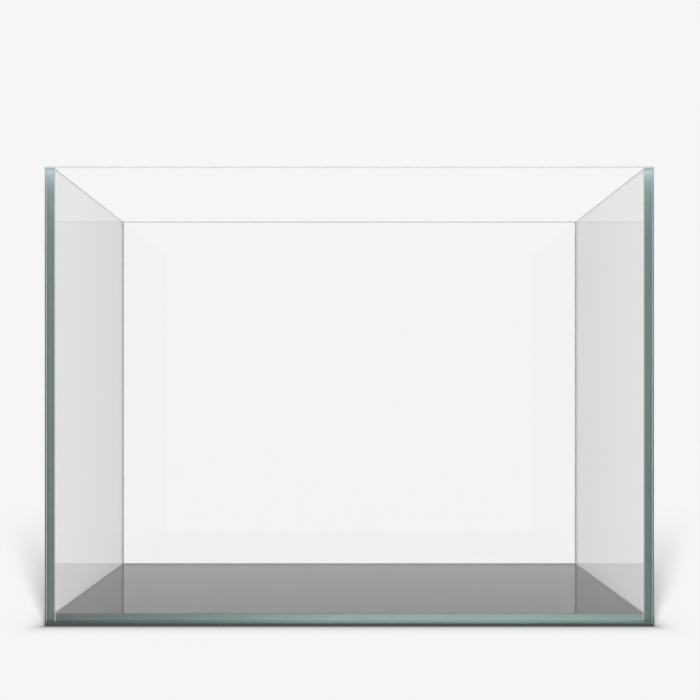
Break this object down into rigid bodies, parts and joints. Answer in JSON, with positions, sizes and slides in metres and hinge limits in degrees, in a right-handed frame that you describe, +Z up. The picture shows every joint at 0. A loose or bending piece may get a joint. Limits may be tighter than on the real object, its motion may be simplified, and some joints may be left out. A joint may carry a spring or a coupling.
{
  "type": "glass aquarium tank",
  "caption": "Rimless clear glass aquarium tank: bonded flat panes with clear silicone seams, open at the top, standing on a thin black foam levelling mat.",
  "frame": {"origin": "centre of the footprint at the underside of the levelling mat", "axes": "+X along the long side, towards the right of someone facing the front pane; +Y from the front pane to the back pane; +Z up"},
  "size_m": [0.6, 0.3, 0.453],
  "materials": {
    "clear_glass": "polished low-iron float glass, teal at its edges",
    "clear_silicone": "clear cured silicone, satin",
    "black_foam": "closed-cell foam, matte"
  },
  "bodies": {
    "mat": {"levelling_mat": "black_foam"},
    "tank": {"front_pane": "clear_glass", "back_pane": "clear_glass", "left_pane": "clear_glass", "right_pane": "clear_glass", "bottom_pane": "clear_glass", "silicone_front_left": "clear_silicone", "silicone_front_right": "clear_silicone", "silicone_back_left": "clear_silicone", "silicone_back_right": "clear_silicone", "silicone_bottom_front": "clear_silicone", "silicone_bottom_back": "clear_silicone", "silicone_bottom_left": "clear_silicone", "silicone_bottom_right": "clear_silicone"}
  },
  "joints": [
    {"name": "lift_off_mat", "type": "slide", "parent": "mat", "child": "tank", "axis": [0, 0, 1], "range_m": [0, 0.1]}
  ]
}
